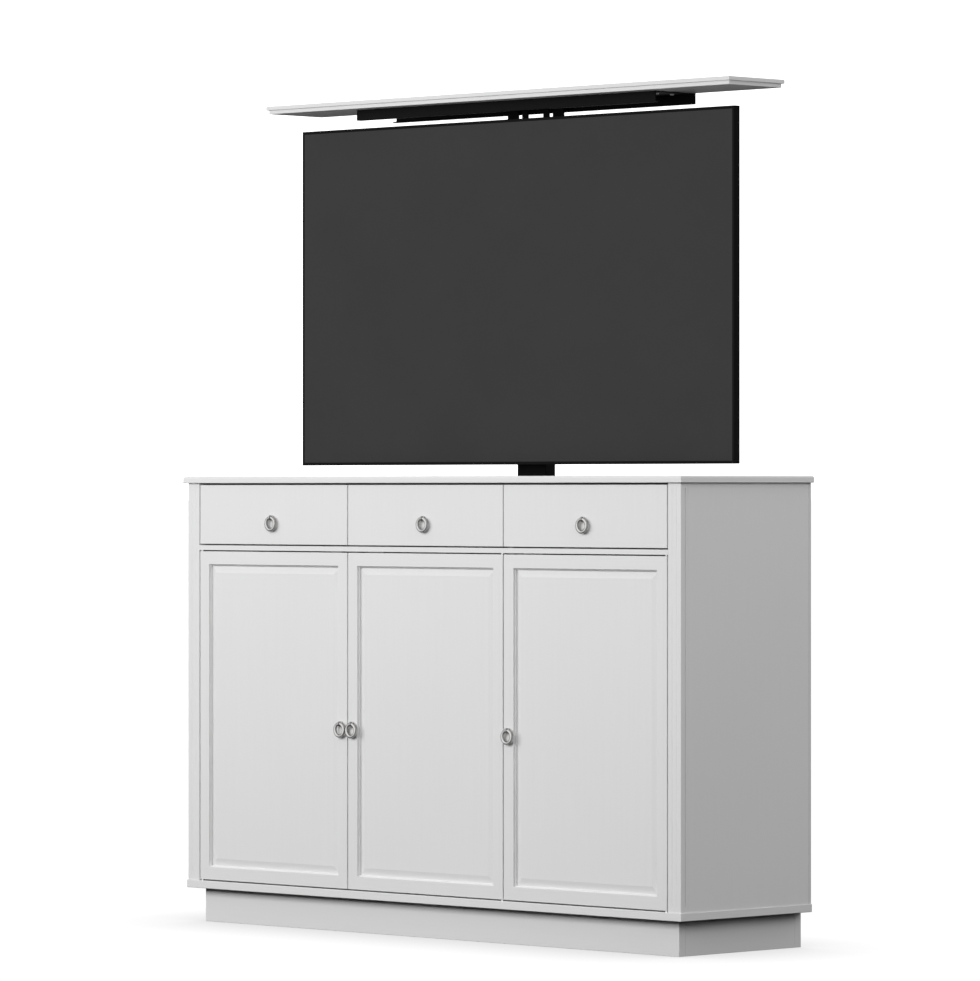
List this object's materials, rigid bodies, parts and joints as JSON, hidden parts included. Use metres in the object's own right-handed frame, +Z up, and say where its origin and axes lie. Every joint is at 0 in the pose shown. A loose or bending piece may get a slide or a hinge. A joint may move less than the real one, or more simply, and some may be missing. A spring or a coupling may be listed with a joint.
{
  "type": "television lift cabinet",
  "caption": "Free-standing cabinet with drawers over panelled doors and a column lift that raises a flat television and a lid through the worktop.",
  "frame": {"origin": "on the floor, under the middle of the whole object's box, with the lift raised", "axes": "+X to the right, -Y out of the fronts, +Z up"},
  "size_m": [1.416, 0.384, 1.6957],
  "materials": {
    "painted_board": "light grey paint, satin, very faint grain",
    "inner_board": "light grey paint, matt",
    "drawer_wood": "clear lacquer on pale wood",
    "polished_metal": "polished",
    "black_steel": "black powder coat",
    "zinc_steel": "zinc plated",
    "motor_grey": "dark grey paint",
    "black_plastic": "fine texture, matt",
    "white_plastic": "matt",
    "screen_glass": "dark, half matt"
  },
  "bodies": {
    "cabinet": {"side_panel_left": "painted_board", "side_panel_right": "painted_board", "corner_post_left": "painted_board", "corner_post_right": "painted_board", "bottom_panel": "painted_board", "plinth": "painted_board", "worktop": "painted_board", "top_rails": "painted_board", "back_panel": "inner_board", "bay_wall": "inner_board", "divider_left": "inner_board", "divider_right": "inner_board", "drawer_deck": "painted_board", "shelves": "inner_board", "shelf_supports": "inner_board", "drawer_runners": "inner_board", "door_pivot_pins": "zinc_steel", "door_catches": "white_plastic", "cable_grommet": "black_plastic", "lift_foot": "black_steel", "lift_foot_bolts": "zinc_steel", "lift_outer_tube": "black_steel", "lift_motor": "motor_grey", "lift_control_box": "black_plastic"},
    "lift_middle": {"lift_middle_tube": "black_steel"},
    "lift_top": {"lift_inner_tube": "black_steel", "tv_case": "black_plastic", "tv_screen": "screen_glass", "tv_rear_cover": "black_plastic", "tv_mount": "black_steel", "tv_mount_screws": "zinc_steel", "head_bracket": "black_steel", "lid_carrier": "black_steel", "lid_core": "painted_board", "lid_top": "painted_board"},
    "drawer_left": {"drawer_front_left": "painted_board", "drawer_box_left": "drawer_wood", "drawer_pull_post_left": "polished_metal"},
    "drawer_ring_left": {"drawer_pull_ring_left": "polished_metal"},
    "door_left": {"door_frame_left": "painted_board", "door_panel_left": "painted_board", "door_pull_post_left": "polished_metal"},
    "door_ring_left": {"door_pull_ring_left": "polished_metal"},
    "drawer_middle": {"drawer_front_middle": "painted_board", "drawer_box_middle": "drawer_wood", "drawer_pull_post_middle": "polished_metal"},
    "drawer_ring_middle": {"drawer_pull_ring_middle": "polished_metal"},
    "door_middle": {"door_frame_middle": "painted_board", "door_panel_middle": "painted_board", "door_pull_post_middle": "polished_metal"},
    "door_ring_middle": {"door_pull_ring_middle": "polished_metal"},
    "drawer_right": {"drawer_front_right": "painted_board", "drawer_box_right": "drawer_wood", "drawer_pull_post_right": "polished_metal"},
    "drawer_ring_right": {"drawer_pull_ring_right": "polished_metal"},
    "door_right": {"door_frame_right": "painted_board", "door_panel_right": "painted_board", "door_pull_post_right": "polished_metal"},
    "door_ring_right": {"door_pull_ring_right": "polished_metal"}
  },
  "joints": [
    {"name": "lift_lower_stage", "type": "slide", "parent": "cabinet", "child": "lift_middle", "axis": [0, 0, 1], "range_m": [-0.3827, 0]},
    {"name": "lift_upper_stage", "type": "slide", "parent": "lift_middle", "child": "lift_top", "axis": [0, 0, 1], "range_m": [-0.3827, 0]},
    {"name": "drawer_slide_left", "type": "slide", "parent": "cabinet", "child": "drawer_left", "axis": [0, -1, 0], "range_m": [0, 0.105]},
    {"name": "drawer_ring_hinge_left", "type": "hinge", "parent": "drawer_left", "child": "drawer_ring_left", "pos_m": [-0.44313, -0.18698, 0.83735], "axis": [-1, 0, 0], "range_deg": [0, 85]},
    {"name": "door_hinge_left", "type": "hinge", "parent": "cabinet", "child": "door_left", "pos_m": [-0.6594, -0.17597, 0.42795], "axis": [0, 0, -1], "range_deg": [0, 105]},
    {"name": "door_ring_hinge_left", "type": "hinge", "parent": "door_left", "child": "door_ring_left", "pos_m": [-0.23827, -0.18698, 0.42195], "axis": [-1, 0, 0], "range_deg": [0, 85]},
    {"name": "drawer_slide_middle", "type": "slide", "parent": "cabinet", "child": "drawer_middle", "axis": [0, -1, 0], "range_m": [0, 0.105]},
    {"name": "drawer_ring_hinge_middle", "type": "hinge", "parent": "drawer_middle", "child": "drawer_ring_middle", "pos_m": [0, -0.18698, 0.83735], "axis": [-1, 0, 0], "range_deg": [0, 85]},
    {"name": "door_hinge_middle", "type": "hinge", "parent": "cabinet", "child": "door_middle", "pos_m": [0.21627, -0.17597, 0.42795], "axis": [0, 0, 1], "range_deg": [0, 90]},
    {"name": "door_ring_hinge_middle", "type": "hinge", "parent": "door_middle", "child": "door_ring_middle", "pos_m": [-0.20487, -0.18698, 0.42195], "axis": [-1, 0, 0], "range_deg": [0, 85]},
    {"name": "drawer_slide_right", "type": "slide", "parent": "cabinet", "child": "drawer_right", "axis": [0, -1, 0], "range_m": [0, 0.105]},
    {"name": "drawer_ring_hinge_right", "type": "hinge", "parent": "drawer_right", "child": "drawer_ring_right", "pos_m": [0.44313, -0.18698, 0.83735], "axis": [-1, 0, 0], "range_deg": [0, 85]},
    {"name": "door_hinge_right", "type": "hinge", "parent": "cabinet", "child": "door_right", "pos_m": [0.6594, -0.17597, 0.42795], "axis": [0, 0, 1], "range_deg": [0, 105]},
    {"name": "door_ring_hinge_right", "type": "hinge", "parent": "door_right", "child": "door_ring_right", "pos_m": [0.23827, -0.18698, 0.42195], "axis": [-1, 0, 0], "range_deg": [0, 85]}
  ],
  "couplings": [
    {"joint": "lift_lower_stage", "follows": "lift_upper_stage", "ratio": 1}
  ]
}
